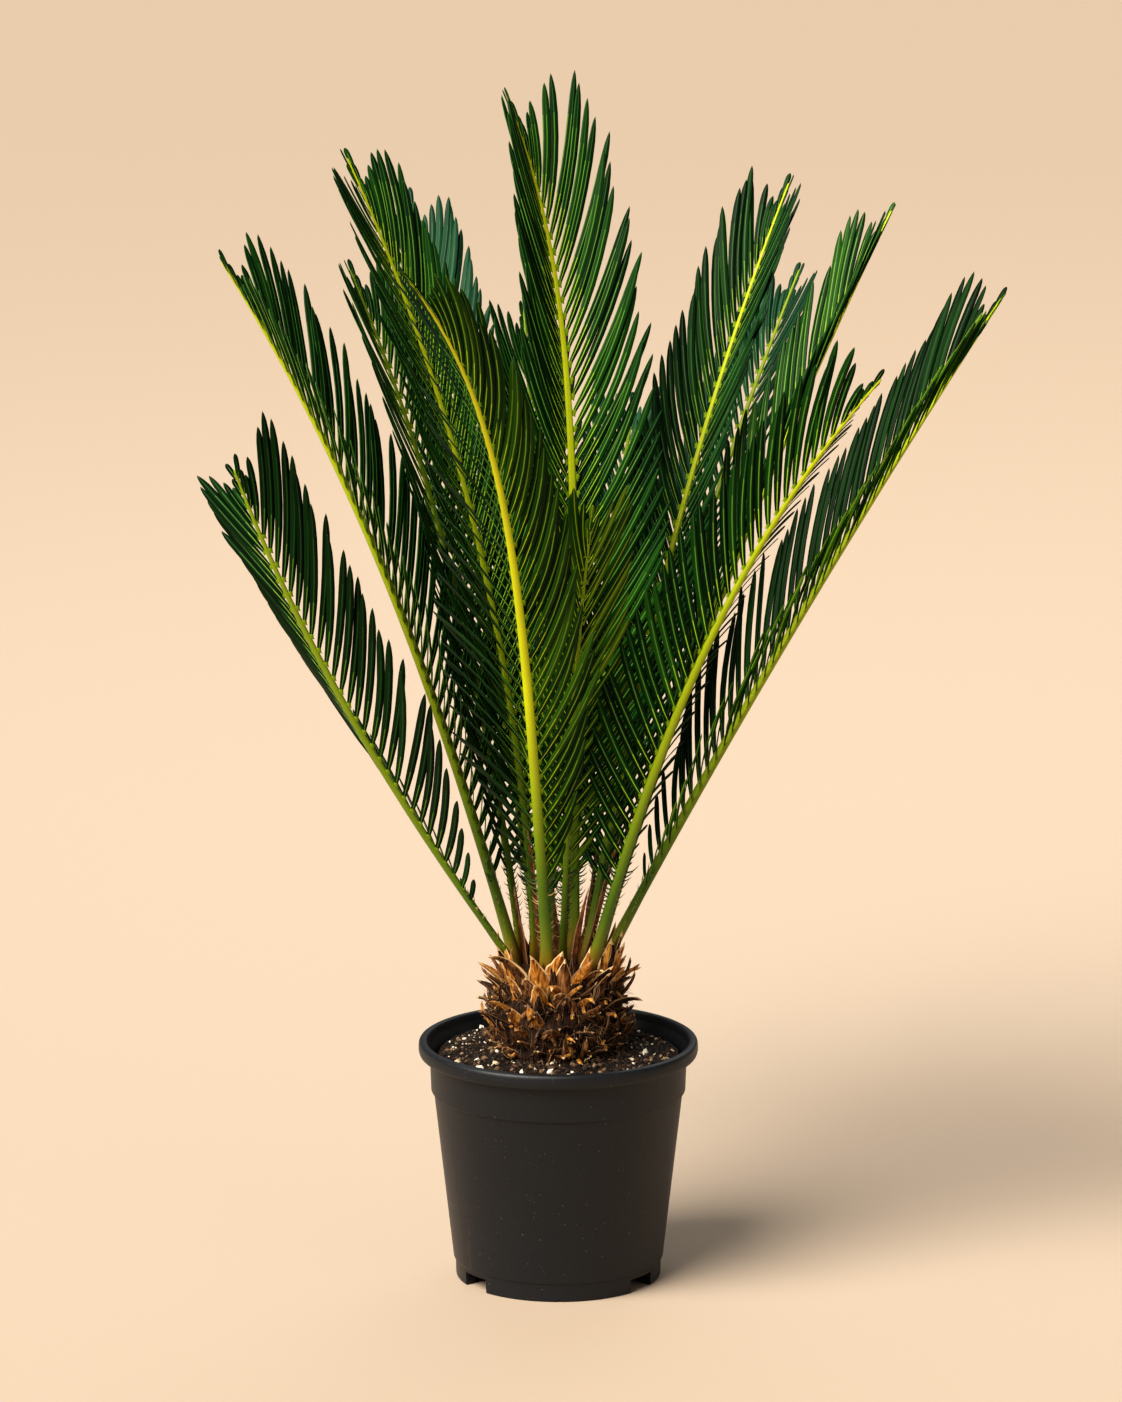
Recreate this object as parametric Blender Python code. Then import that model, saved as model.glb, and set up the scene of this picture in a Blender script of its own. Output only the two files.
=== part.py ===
"""A young sago palm in its nursery pot.

The pot is a turned plastic shell with drain notches through its foot. Its soil fills it to just
under the rim. On the soil stands the caudex, a stout trunk clad in old leaf bases, and from the
flat crown of the caudex rise the fronds. Each frond is a rib with two rows of stiff leaflets.

Metres, +Z up. The origin is the middle of the pot's underside, and the front is -Y.
Azimuths are in degrees, anticlockwise from +X seen from above: 270 is the front.
"""
import math
from dataclasses import dataclass

import bmesh
import bpy
from mathutils import Vector
from mathutils.bvhtree import BVHTree

CLEARANCE = 0.0003
TURN_STEPS = 40
FLAT_ANGLE = 4.0

POT_HEIGHT = 0.0908
POT_WALL = 0.0014
LIP_RADIUS = 0.0522
LIP_HEIGHT = 0.0060
LIP_ROUNDING = 0.0011
BAND_RADIUS = 0.0478
BAND_FOOT = 0.0716
BODY_TOP_RADIUS = 0.0463
BODY_FOOT_RADIUS = 0.0392
FOOT_RADIUS = 0.0385
FOOT_HEIGHT = 0.0068
LEDGE = 0.0007
FLOOR_DISC_RADIUS = 0.0288
CHANNEL_HEIGHT = 0.0030
CHANNEL_SLOPE = 0.0008
CHANNEL_OUTER_RADIUS = 0.0346
NOTCH_AZIMUTHS = (216.0, 324.0, 36.0, 144.0)
NOTCH_WIDTH = 0.0128
NOTCH_HEIGHT = 0.0053
NOTCH_DEPTH = 0.012

SOIL_LEVEL = 0.0872
SOIL_EDGE_LEVEL = 0.0856
SOIL_MOUND_RADIUS = 0.0275

CAUDEX_FOOT_RADIUS = 0.0245
CAUDEX_CROWN_RADIUS = 0.0200
CAUDEX_HEIGHT = 0.0322
CAUDEX_BULGE = 0.0012
CAUDEX_STEPS = 18
CAUDEX_LEVELS = 6
SCALE_RINGS = 5
SCALES_A_RING = 11
SCALE_RING_TURN = 9.0
SCALE_WIDTH = 0.0095
SCALE_THICKNESS = 0.0016
SCALE_ROOT_DEPTH = 0.0032
SCALE_LENGTH_LOW = 0.0135
SCALE_LENGTH_HIGH = 0.0240
SCALE_LEAN_LOW = 52.0
SCALE_LEAN_HIGH = 13.0
SCALE_MOST_PUSH = 65
SCALE_PUSH_STEP = 5

RIB_SIDES = 4
RIB_NECK = 0.10
RIB_FOOT_WIDTH = 0.0058
RIB_NECK_WIDTH = 0.0046
RIB_TIP_WIDTH = 0.0014
RIB_RINGS = 10
STATIONS = 40

BARE_LENGTH = 0.034
LEAFLET_PITCH = 0.0141
LEAFLET_COVER = 0.68
LEAFLET_THICKNESS = 0.0008
LEAFLET_ROOT_WIDTH = 0.22
LEAFLET_ROOT_THICKNESS = 0.5
LEAFLET_ELBOW = 0.36
LEAFLET_SIZES = (1.0, 0.72, 0.5)
LAST_LEAFLET = 0.985
SWEEP_AT_FOOT = 44.0
SWEEP_AT_TIP = 16.0
BOW_AT_FOOT = 0.20
BOW_AT_TIP = 0.56
ROLL_BEND = 1.3
SHORTEST_AT_FOOT = 0.25
RISE = 4.5
FALL_FROM = 0.82
FALL_TO = 0.96
SHORTEST_AT_TIP = 0.18
CLOSING = 8.0


@dataclass
class Row:
    """A row of leaflets on one side of a frond: how far it opens, bows forwards and reaches out."""

    turn: float
    bow: float
    reach: float


@dataclass
class Frond:
    """A frond by where it stands on the crown of the caudex, how it goes and bends, and its rows."""

    name: str
    foot_radius: float
    foot_azimuth: float
    heading: float
    sway: float
    lean: float
    tip_lean: float
    bend: float
    length: float
    leaflet: float
    keel: float
    roll: float
    tip_roll: float
    left_row: Row
    right_row: Row


FRONDS = (
    Frond("frond_top", 0.0087, 48, 88, 76, 9, 24, 3.0, 0.3213, 0.068, 28, 0, 0,
          Row(-3, 10, 0.88), Row(2, 10, 1)),
    Frond("frond_front", 0.0153, 256, 258, -46, 16, 42, 3.0, 0.298, 0.052, 28, 0, 0,
          Row(-4, 16, 1), Row(14, -12, 1)),
    Frond("frond_front_right", 0.0161, 318, 348, 0, 16, 41, 1.6, 0.251, 0.050, 28, -48, -48,
          Row(-3, -20, 0.36), Row(5, 8, 1)),
    Frond("frond_left_low", 0.0168, 204, 204, 0, 35, 20, 1.6, 0.225, 0.048, 28, -8, 62,
          Row(4, 8, 1.2), Row(9, 2, 0.95)),
    Frond("frond_right_low", 0.0168, 0, 2, 0, 27, 33, 0.8, 0.288, 0.053, 36, 4, 10,
          Row(2, 10, 1.05), Row(6, 25, 0.85)),
    Frond("frond_left", 0.0153, 178, 176, 0, 16, 33, 1.6, 0.284, 0.054, 36, -4, -4,
          Row(6, 14, 0.8), Row(6, 10, 1.05)),
    Frond("frond_right", 0.0153, 26, 22, 0, 18, 29, 1.0, 0.299, 0.050, 34, 0, -6,
          Row(-2, 8, 1), Row(-2, 14, 1)),
    Frond("frond_left_tall", 0.0087, 170, 157, 0, 3, 27, 1.1, 0.308, 0.054, 28, -30, -30,
          Row(2, 8, 1), Row(-2, 10, 1)),
    Frond("frond_right_tall", 0.0097, 350, 50, 0, 16, 34, 1.4, 0.305, 0.056, 28, 2, 2,
          Row(0, 10, 1), Row(-2, 6, 0.9)),
    Frond("frond_inner", 0.0070, 282, 282, 0, 8, 30, 1.6, 0.190, 0.040, 28, 0, 0,
          Row(8, 6, 1), Row(-4, 10, 1)),
    Frond("frond_back_left", 0.0153, 118, 112, 0, 21, 34, 1.2, 0.300, 0.050, 28, 0, 0,
          Row(2, 10, 1), Row(2, 10, 1)),
    Frond("frond_back_left_low", 0.0158, 148, 138, 0, 11, 32, 1.5, 0.266, 0.050, 28, 0, 0,
          Row(2, 10, 1), Row(2, 10, 1)),
    Frond("frond_back_right", 0.0161, 56, 58, 0, 28, 41, 1.2, 0.286, 0.048, 28, 0, 0,
          Row(2, 10, 1), Row(2, 10, 1)),
    Frond("frond_back", 0.0158, 84, 80, 0, 34, 50, 1.0, 0.245, 0.046, 28, 0, 0,
          Row(2, 10, 1), Row(2, 10, 1)),
    Frond("frond_back_inner", 0.0077, 112, 96, 0, 14, 36, 1.4, 0.250, 0.046, 28, 0, 0,
          Row(2, 10, 1), Row(2, 10, 1)),
)

CHARCOAL = (0.024, 0.022, 0.020)
SOIL_BROWN = (0.018, 0.011, 0.007)
BARK_BROWN = (0.125, 0.055, 0.020)
FROND_GREEN = (0.030, 0.110, 0.014)
FROND_BLUE_GREEN = (0.030, 0.100, 0.050)


def clear_scene():
    for item in list(bpy.data.objects):
        bpy.data.objects.remove(item)


def finish(name, colour, roughness):
    made = bpy.data.materials.new(name)
    made.use_nodes = True
    shader = made.node_tree.nodes["Principled BSDF"]
    shader.inputs["Base Color"].default_value = (*colour, 1.0)
    shader.inputs["Roughness"].default_value = roughness
    shader.inputs["Metallic"].default_value = 0.0
    return made


def compass(azimuth):
    """The level unit vector that points this way."""
    turn = math.radians(azimuth)
    return Vector((math.cos(turn), math.sin(turn), 0.0))


def blend(low, high, share):
    return low + (high - low) * share


def object_from(shape, name, material):
    """A named object from an edited mesh, its faces turned outwards."""
    bmesh.ops.recalc_face_normals(shape, faces=shape.faces)
    mesh = bpy.data.meshes.new(name)
    shape.to_mesh(mesh)
    shape.free()
    mesh.materials.append(material)
    made = bpy.data.objects.new(name, mesh)
    bpy.context.scene.collection.objects.link(made)
    return made


def smooth(made, sharp_angle):
    made.data.shade_smooth()
    made.data.set_sharp_from_angle(angle=math.radians(sharp_angle))


def turned(name, profile, steps, material):
    """A solid of revolution from its half outline, which starts and ends on the axis."""
    shape = bmesh.new()
    corners = [shape.verts.new((radius, 0.0, height)) for radius, height in profile]
    edges = [shape.edges.new(pair) for pair in zip(corners, corners[1:])]
    bmesh.ops.spin(
        shape, geom=corners + edges, cent=(0, 0, 0), axis=(0, 0, 1), angle=math.tau, steps=steps,
        use_merge=True,
    )
    bmesh.ops.remove_doubles(shape, verts=shape.verts, dist=1e-6)
    return object_from(shape, name, material)


def lofted(rings, tip=None):
    """Corners and triangles of a closed skin through rings of equal count, capped or drawn to a tip."""
    count = len(rings[0])
    corners = [corner for ring in rings for corner in ring]
    triangles = [(0, k + 1, k) for k in range(1, count - 1)]
    for row in range(len(rings) - 1):
        base = row * count
        for k in range(count):
            after = (k + 1) % count
            triangles.append((base + k, base + after, base + count + after))
            triangles.append((base + k, base + count + after, base + count + k))
    last = (len(rings) - 1) * count
    if tip is None:
        triangles += [(last, last + k, last + k + 1) for k in range(1, count - 1)]
        return corners, triangles
    triangles += [(last + k, last + (k + 1) % count, len(corners)) for k in range(count)]
    return corners + [tip], triangles


def object_from_skin(skin, name, material):
    corners, triangles = skin
    shape = bmesh.new()
    verts = [shape.verts.new(corner) for corner in corners]
    for triangle in triangles:
        shape.faces.new([verts[k] for k in triangle])
    return object_from(shape, name, material)


def joined(core, pieces):
    """One Boolean union of the core and its pieces, applied. The pieces are then removed."""
    group = bpy.data.collections.new(core.name + "_pieces")
    bpy.context.scene.collection.children.link(group)
    for piece in pieces:
        group.objects.link(piece)
    union = core.modifiers.new("union", "BOOLEAN")
    union.operation = "UNION"
    union.operand_type = "COLLECTION"
    union.collection = group
    union.solver = "EXACT"
    graph = bpy.context.evaluated_depsgraph_get()
    whole = bpy.data.meshes.new_from_object(core.evaluated_get(graph))
    core.modifiers.clear()
    core.data = whole
    for piece in pieces:
        bpy.data.objects.remove(piece)
    bpy.data.collections.remove(group)
    drop_flat_edges(whole)


def drop_flat_edges(mesh):
    """Takes out the edges and corners that a join leaves across flat faces."""
    shape = bmesh.new()
    shape.from_mesh(mesh)
    bmesh.ops.dissolve_limit(
        shape, angle_limit=math.radians(FLAT_ANGLE), verts=shape.verts, edges=shape.edges
    )
    bmesh.ops.triangulate(shape, faces=shape.faces)
    shape.to_mesh(mesh)
    shape.free()


def make_pot(material):
    """The pot's shell: foot ring, tapering wall, upper band and rolled lip, with a raised drain channel."""
    lip_foot = POT_HEIGHT - LIP_HEIGHT
    outer = [
        (0.0, 0.0),
        (FLOOR_DISC_RADIUS, 0.0),
        (FLOOR_DISC_RADIUS + CHANNEL_SLOPE, CHANNEL_HEIGHT),
        (CHANNEL_OUTER_RADIUS - CHANNEL_SLOPE, CHANNEL_HEIGHT),
        (CHANNEL_OUTER_RADIUS, 0.0),
        (FOOT_RADIUS, 0.0),
        (FOOT_RADIUS, FOOT_HEIGHT),
        (BODY_FOOT_RADIUS, FOOT_HEIGHT + LEDGE),
        (BODY_TOP_RADIUS, BAND_FOOT - LEDGE),
        (BAND_RADIUS, BAND_FOOT),
        (BAND_RADIUS, lip_foot),
        (LIP_RADIUS, lip_foot + LEDGE),
        (LIP_RADIUS, POT_HEIGHT - LIP_ROUNDING),
        (LIP_RADIUS - LIP_ROUNDING, POT_HEIGHT),
        (LIP_RADIUS - 2 * LIP_ROUNDING, POT_HEIGHT),
    ]
    inner = [
        (LIP_RADIUS - 3 * LIP_ROUNDING, POT_HEIGHT - LIP_ROUNDING),
        (BAND_RADIUS - POT_WALL, lip_foot - LEDGE),
        (BAND_RADIUS - POT_WALL, BAND_FOOT),
        (BODY_TOP_RADIUS - POT_WALL, BAND_FOOT - LEDGE),
        (BODY_FOOT_RADIUS - POT_WALL, FOOT_HEIGHT + LEDGE),
        (BODY_FOOT_RADIUS - 2 * POT_WALL, CHANNEL_HEIGHT + POT_WALL),
        (FLOOR_DISC_RADIUS, CHANNEL_HEIGHT + POT_WALL),
        (FLOOR_DISC_RADIUS - CHANNEL_SLOPE, POT_WALL),
        (0.0, POT_WALL),
    ]
    pot = turned("pot", outer + inner, TURN_STEPS, material)
    for azimuth in NOTCH_AZIMUTHS:
        cut_notch(pot, azimuth)
    smooth(pot, 35)
    return pot


def cut_notch(pot, azimuth):
    """A drain notch through the foot ring and the lowest part of the wall."""
    bpy.ops.mesh.primitive_cube_add(size=1.0)
    cutter = bpy.context.object
    cutter.name = f"notch_cutter_{azimuth:.0f}"
    cutter.scale = (NOTCH_DEPTH, NOTCH_WIDTH, 2 * NOTCH_HEIGHT)
    cutter.rotation_euler.z = math.radians(azimuth)
    cutter.location = compass(azimuth) * (CHANNEL_OUTER_RADIUS - POT_WALL + NOTCH_DEPTH / 2)
    cutter.hide_render = True
    cutter.display_type = "WIRE"
    cut = pot.modifiers.new(cutter.name, "BOOLEAN")
    cut.operation = "DIFFERENCE"
    cut.object = cutter
    cut.solver = "EXACT"


def make_soil(material):
    """Potting soil: it follows the pot's inside a hair's breadth clear, level where the caudex stands."""
    wall = POT_WALL + CLEARANCE
    profile = [
        (0.0, wall),
        (FLOOR_DISC_RADIUS - CHANNEL_SLOPE - 2 * CLEARANCE, wall),
        (FLOOR_DISC_RADIUS - 2 * CLEARANCE, CHANNEL_HEIGHT + wall),
        (BODY_FOOT_RADIUS - 2 * wall, CHANNEL_HEIGHT + wall),
        (BODY_FOOT_RADIUS - wall, FOOT_HEIGHT + 2 * LEDGE),
        (BODY_TOP_RADIUS - wall, BAND_FOOT - LEDGE),
        (BODY_TOP_RADIUS - wall, SOIL_EDGE_LEVEL),
        (SOIL_MOUND_RADIUS, SOIL_LEVEL),
        (0.0, SOIL_LEVEL),
    ]
    soil = turned("soil", profile, TURN_STEPS, material)
    smooth(soil, 40)
    return soil


def caudex_radius(share):
    """The core's radius at this share of its height: flared at the foot, drawn in at the crown."""
    bulge = CAUDEX_BULGE * math.sin(math.pi * share)
    return blend(CAUDEX_FOOT_RADIUS, CAUDEX_CROWN_RADIUS, share * share) + bulge


def make_caudex(material, ribs):
    """The caudex: a short stout core with rings of pointed old leaf bases fused on, clear of the ribs."""
    foot = SOIL_LEVEL + CLEARANCE
    shares = [k / CAUDEX_LEVELS for k in range(CAUDEX_LEVELS + 1)]
    sides = [(caudex_radius(share), foot + share * CAUDEX_HEIGHT) for share in shares]
    profile = [(0.0, foot), *sides, (0.0, foot + CAUDEX_HEIGHT)]
    core = turned("caudex", profile, CAUDEX_STEPS, material)
    scales = []
    for ring in range(SCALE_RINGS):
        for k in range(SCALES_A_RING):
            azimuth = 360 / SCALES_A_RING * (k + 0.5 * (ring % 2)) + SCALE_RING_TURN * ring
            skin = clear_scale(ring, azimuth, foot, ribs)
            scales.append(object_from_skin(skin, f"scale_{ring}_{k}", material))
    joined(core, scales)
    return core


def clear_scale(ring, azimuth, foot, ribs):
    """An old leaf base, leaned out until it stays clear of the living ribs."""
    for push in range(0, SCALE_MOST_PUSH, SCALE_PUSH_STEP):
        skin = scale_skin(ring, azimuth, foot, push)
        tree = tree_of(skin)
        if not any(tree.overlap(rib) for rib in ribs):
            break
    return skin


def scale_skin(ring, azimuth, foot, push):
    """One old leaf base: a pointed keeled plate that leans outwards, less so higher up."""
    share = (ring + 0.6) / SCALE_RINGS
    out = compass(azimuth)
    aside = Vector((-out.y, out.x, 0.0))
    lean = math.radians(blend(SCALE_LEAN_LOW, SCALE_LEAN_HIGH, share) + push)
    along = out * math.sin(lean) + Vector((0, 0, math.cos(lean)))
    face = out * math.cos(lean) - Vector((0, 0, math.sin(lean)))
    root = out * (caudex_radius(share) - SCALE_ROOT_DEPTH)
    root.z = foot + share * (CAUDEX_HEIGHT - SCALE_ROOT_DEPTH)
    length = blend(SCALE_LENGTH_LOW, SCALE_LENGTH_HIGH, share) * (1 + 0.12 * math.sin(azimuth * 7 + ring))
    rings = []
    for step, width in ((0.0, 0.75), (0.45, 1.0)):
        middle = root + along * (length * step)
        half = aside * (SCALE_WIDTH * width / 2)
        rings.append([middle - half, middle + face * SCALE_THICKNESS, middle + half])
    return lofted(rings, root + along * length)


@dataclass
class Station:
    """A place on a rib: where it is, the way it grows, the way its left row points, and its upper face."""

    place: Vector
    along: Vector
    left: Vector
    upper: Vector


def spine(frond):
    """The rib's stations from foot to tip, evenly spaced."""
    place = compass(frond.foot_azimuth) * frond.foot_radius
    place.z = SOIL_LEVEL + CAUDEX_HEIGHT + 2 * CLEARANCE
    stations = []
    for k in range(STATIONS + 1):
        share = k / STATIONS
        bent = share ** frond.bend
        out = compass(frond.heading + frond.sway * bent)
        lean = math.radians(blend(frond.lean, frond.tip_lean, bent))
        along = out * math.sin(lean) + Vector((0, 0, math.cos(lean)))
        level = Vector((-out.y, out.x, 0.0))
        upper = along.cross(level)
        roll = math.radians(blend(frond.roll, frond.tip_roll, share ** ROLL_BEND))
        left = level * math.cos(roll) + upper * math.sin(roll)
        stations.append(Station(place.copy(), along, left, along.cross(left)))
        place += along * (frond.length / STATIONS)
    return stations


def station_at(stations, share):
    """The station at this share of the rib's length."""
    position = min(share, 1.0) * STATIONS
    low = min(int(position), STATIONS - 1)
    part = position - low
    first = stations[low]
    second = stations[low + 1]
    return Station(
        first.place.lerp(second.place, part),
        first.along.lerp(second.along, part).normalized(),
        first.left.lerp(second.left, part).normalized(),
        first.upper.lerp(second.upper, part).normalized(),
    )


def rib_width(share):
    """A rib is swollen at its foot, slim along the petiole and fine at its tip."""
    if share < RIB_NECK:
        return blend(RIB_FOOT_WIDTH, RIB_NECK_WIDTH, share / RIB_NECK)
    return blend(RIB_NECK_WIDTH, RIB_TIP_WIDTH, (share - RIB_NECK) / (1 - RIB_NECK))


def rib_skin(frond, stations, margin=0.0):
    """The rib as a four-sided tapering bar. Its foot is cut level, just above the caudex."""
    rings = []
    for k in range(RIB_RINGS):
        share = k / (RIB_RINGS - 1)
        here = station_at(stations, share)
        reach = rib_width(share) / 2 + margin
        ring = []
        for side in range(RIB_SIDES):
            turn = math.tau * (side + 0.5) / RIB_SIDES
            ring.append(here.place + (here.left * math.cos(turn) + here.upper * math.sin(turn)) * reach)
        rings.append(ring)
    level = stations[0].place.z
    along = stations[0].along
    rings[0] = [corner + along * ((level - corner.z) / along.z) for corner in rings[0]]
    return lofted(rings)


def ending(share):
    """How far a leaflet stands into the frond's end, where the rows shorten to a narrow tuft."""
    into = min(1.0, max(0.0, (share - FALL_FROM) / (FALL_TO - FALL_FROM)))
    return into * into * (3.0 - 2.0 * into)


def leaflet_length(frond, share):
    """Leaflets are short at the foot of the row, soon at their longest, and short again at the tip."""
    rise = min(1.0, SHORTEST_AT_FOOT + RISE * share)
    return frond.leaflet * rise * (1.0 - (1.0 - SHORTEST_AT_TIP) * ending(share))


def leaflet_skin(frond, stations, share, hand, size, margin=0.0):
    """A leaflet: a keeled blade from the rib's middle, swept forwards, raised, and bowed to the tip."""
    bare = BARE_LENGTH / frond.length
    here = station_at(stations, blend(bare, LAST_LEAFLET, share))
    row = frond.left_row if hand > 0 else frond.right_row
    angle = blend(SWEEP_AT_FOOT, SWEEP_AT_TIP, share) + row.turn - CLOSING * ending(share)
    sweep = math.radians(angle + BOW_AT_FOOT * row.bow)
    keel = math.radians(frond.keel)
    out = here.left * (hand * math.cos(keel)) + here.upper * math.sin(keel)
    length = leaflet_length(frond, share) * row.reach * size
    heading = here.along * math.cos(sweep) + out * math.sin(sweep)
    swept = math.radians(angle - BOW_AT_TIP * row.bow)
    bowed = here.along * math.cos(swept) + out * math.sin(swept)
    face = heading.cross(here.along).normalized()
    across = heading.cross(face)
    half = LEAFLET_COVER * LEAFLET_PITCH * math.sin(sweep) / 2 + margin
    thick = LEAFLET_THICKNESS / 2 + margin
    middle = here.place + heading * (length * LEAFLET_ELBOW)
    rings = []
    for centre, wide, deep in (
        (here.place, LEAFLET_ROOT_WIDTH, LEAFLET_ROOT_THICKNESS), (middle, 1.0, 1.0)
    ):
        edge = across * (half * wide)
        rise = face * (thick * deep)
        rings.append([centre - edge + rise, centre + edge + rise, centre - rise])
    return lofted(rings, middle + bowed * (length * (1 - LEAFLET_ELBOW) + margin))


def tree_of(skin):
    return BVHTree.FromPolygons(*skin)


def make_fronds(greens, standing, spines, ribs):
    """Every frond, from the first to the last. A leaflet that would touch what stands there is left out."""
    grown = []
    for frond in FRONDS:
        stations = spines[frond.name]
        others = [tree for name, tree in ribs.items() if name != frond.name]
        blades = clear_leaflets(frond, stations, standing + others + grown)
        green = greens[frond.name.startswith("frond_back")]
        rib = object_from_skin(rib_skin(frond, stations), frond.name, green)
        pieces = [object_from_skin(skin, f"leaflet_{k}", green) for k, skin in enumerate(blades)]
        joined(rib, pieces)
        grown += [tree_of(skin) for skin in blades]


def clear_leaflets(frond, stations, obstacles):
    """The leaflets of one frond that stay clear of every obstacle, shortened where that is enough."""
    pairs = round((frond.length - BARE_LENGTH) / LEAFLET_PITCH)
    kept = []
    for k in range(pairs + 1):
        share = k / pairs
        for hand in (1, -1):
            for size in LEAFLET_SIZES:
                wide = tree_of(leaflet_skin(frond, stations, share, hand, size, CLEARANCE))
                if any(wide.overlap(tree) for tree in obstacles):
                    continue
                kept.append(leaflet_skin(frond, stations, share, hand, size))
                break
    return kept


def tree_of_object(made):
    corners = [vert.co for vert in made.data.vertices]
    return BVHTree.FromPolygons(corners, [face.vertices for face in made.data.polygons])


clear_scene()
rib_spines = {frond.name: spine(frond) for frond in FRONDS}
rib_trees = {
    frond.name: tree_of(rib_skin(frond, rib_spines[frond.name], CLEARANCE)) for frond in FRONDS
}
pot_object = make_pot(finish("pot_plastic", CHARCOAL, 0.45))
make_soil(finish("potting_soil", SOIL_BROWN, 0.95))
caudex_object = make_caudex(finish("old_leaf_bases", BARK_BROWN, 0.85), rib_trees.values())
make_fronds(
    (finish("frond_green", FROND_GREEN, 0.45), finish("frond_blue_green", FROND_BLUE_GREEN, 0.45)),
    [tree_of_object(pot_object), tree_of_object(caudex_object)],
    rib_spines,
    rib_trees,
)
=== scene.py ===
"""A young sago palm in its nursery pot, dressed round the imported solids.

Metres, +Z up, the front is -Y. The sections follow the plant as it is put together: the studio, the pot, the
soil, the caudex, the ribs of the fronds, the spines along their stalks, and the leaflets.
"""
import math

import bmesh
import bpy
import numpy as np
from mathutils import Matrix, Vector, noise


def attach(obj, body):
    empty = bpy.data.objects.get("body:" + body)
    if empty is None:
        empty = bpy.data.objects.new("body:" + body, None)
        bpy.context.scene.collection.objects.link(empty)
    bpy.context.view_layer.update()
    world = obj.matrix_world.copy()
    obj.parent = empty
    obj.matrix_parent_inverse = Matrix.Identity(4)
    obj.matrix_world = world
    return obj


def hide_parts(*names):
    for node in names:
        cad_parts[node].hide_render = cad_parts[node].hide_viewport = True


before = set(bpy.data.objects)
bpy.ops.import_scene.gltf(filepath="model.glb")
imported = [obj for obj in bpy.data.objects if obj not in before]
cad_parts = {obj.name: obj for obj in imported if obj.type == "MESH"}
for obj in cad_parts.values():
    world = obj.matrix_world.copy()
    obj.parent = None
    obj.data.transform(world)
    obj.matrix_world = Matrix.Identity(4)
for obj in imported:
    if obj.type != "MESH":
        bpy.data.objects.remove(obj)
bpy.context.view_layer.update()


# The studio: a pale floor, a warm soft light from high on the left, and weaker lamps at both sides, behind and
# above. A long lens looks down at the plant a little, as one does at a low table.
FLOOR_REACH = 7.0
FLOOR_CREAM = (0.50, 0.395, 0.300)
ROOM_LIGHT = (1.0, 0.93, 0.84)
ROOM_STRENGTH = 0.20
LENS_MM = 170.0
FILM_MM = 36.0
CAMERA_PLACE = (0.0, -2.387, 0.745)
CAMERA_AIM = (0.001, 0.0, 0.2198)
LAMP_AIM = (0.0, 0.0, 0.2)
SKYLIGHT_AT = (-2.6, -2.4, 3.9)
SKYLIGHT_STRENGTH = 5.2
SKYLIGHT_SPREAD = 44.0
SKYLIGHT_TINT = (1.0, 0.95, 0.87)
# Name, place, size, watts and tint of each lamp
LAMPS = (
    ("left_lamp", (-1.3, -0.9, 0.9), 0.7, 3.5, (1.0, 0.95, 0.88)),
    ("right_lamp", (1.7, -1.5, 1.0), 1.4, 3.0, (0.94, 0.97, 1.0)),
    ("rear_lamp", (0.8, 1.8, 1.6), 1.2, 4.0, (1.0, 0.96, 0.88)),
    ("top_lamp", (0.0, 0.9, 1.5), 1.2, 6.0, (0.80, 0.90, 1.0)),
)


def facing(place, aim):
    """The turn that points a lamp or the camera at its aim."""
    return (Vector(aim) - Vector(place)).to_track_quat("-Z", "Y").to_euler()


def plain_finish(name, colour, roughness, sheen=0.5):
    """A finish of one even colour. The sheen is how strongly its surface mirrors, 0.5 as most plastics do."""
    made = bpy.data.materials.new(name)
    made.use_nodes = True
    shader = made.node_tree.nodes["Principled BSDF"]
    shader.inputs["Base Color"].default_value = (*colour, 1.0)
    shader.inputs["Roughness"].default_value = roughness
    shader.inputs["Specular IOR Level"].default_value = sheen
    return made


def linked(name, data):
    """A new object with this data, put into the scene."""
    made = bpy.data.objects.new(name, data)
    bpy.context.scene.collection.objects.link(made)
    return made


floor_mesh = bpy.data.meshes.new("studio_floor")
floor_corners = [(x * FLOOR_REACH, y * FLOOR_REACH, 0.0) for x, y in ((-1, -1), (1, -1), (1, 1), (-1, 1))]
floor_mesh.from_pydata(floor_corners, [], [(0, 1, 2, 3)])
floor_mesh.materials.append(plain_finish("studio_floor", FLOOR_CREAM, 0.9))
linked("studio_floor", floor_mesh)
for lamp_name, place, size, watts, tint in LAMPS:
    lamp = bpy.data.lights.new(lamp_name, "AREA")
    lamp.size = size
    lamp.energy = watts
    lamp.color = tint
    hung = linked(lamp_name, lamp)
    hung.location = place
    hung.rotation_euler = facing(place, LAMP_AIM)
skylight = bpy.data.lights.new("skylight", "SUN")
skylight.energy = SKYLIGHT_STRENGTH
skylight.angle = math.radians(SKYLIGHT_SPREAD)
skylight.color = SKYLIGHT_TINT
linked("skylight", skylight).rotation_euler = facing(SKYLIGHT_AT, LAMP_AIM)
room = bpy.data.worlds.new("studio_room")
room.use_nodes = True
room.node_tree.nodes["Background"].inputs["Color"].default_value = (*ROOM_LIGHT, 1.0)
room.node_tree.nodes["Background"].inputs["Strength"].default_value = ROOM_STRENGTH
bpy.context.scene.world = room
bpy.context.scene.view_settings.view_transform = "Standard"
bpy.context.scene.view_settings.look = "Medium High Contrast"
lens = bpy.data.cameras.new("camera")
lens.lens = LENS_MM
lens.sensor_fit = "VERTICAL"
lens.sensor_height = FILM_MM
camera = linked("camera", lens)
camera.location = CAMERA_PLACE
camera.rotation_euler = facing(CAMERA_PLACE, CAMERA_AIM)
bpy.context.scene.camera = camera


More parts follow.
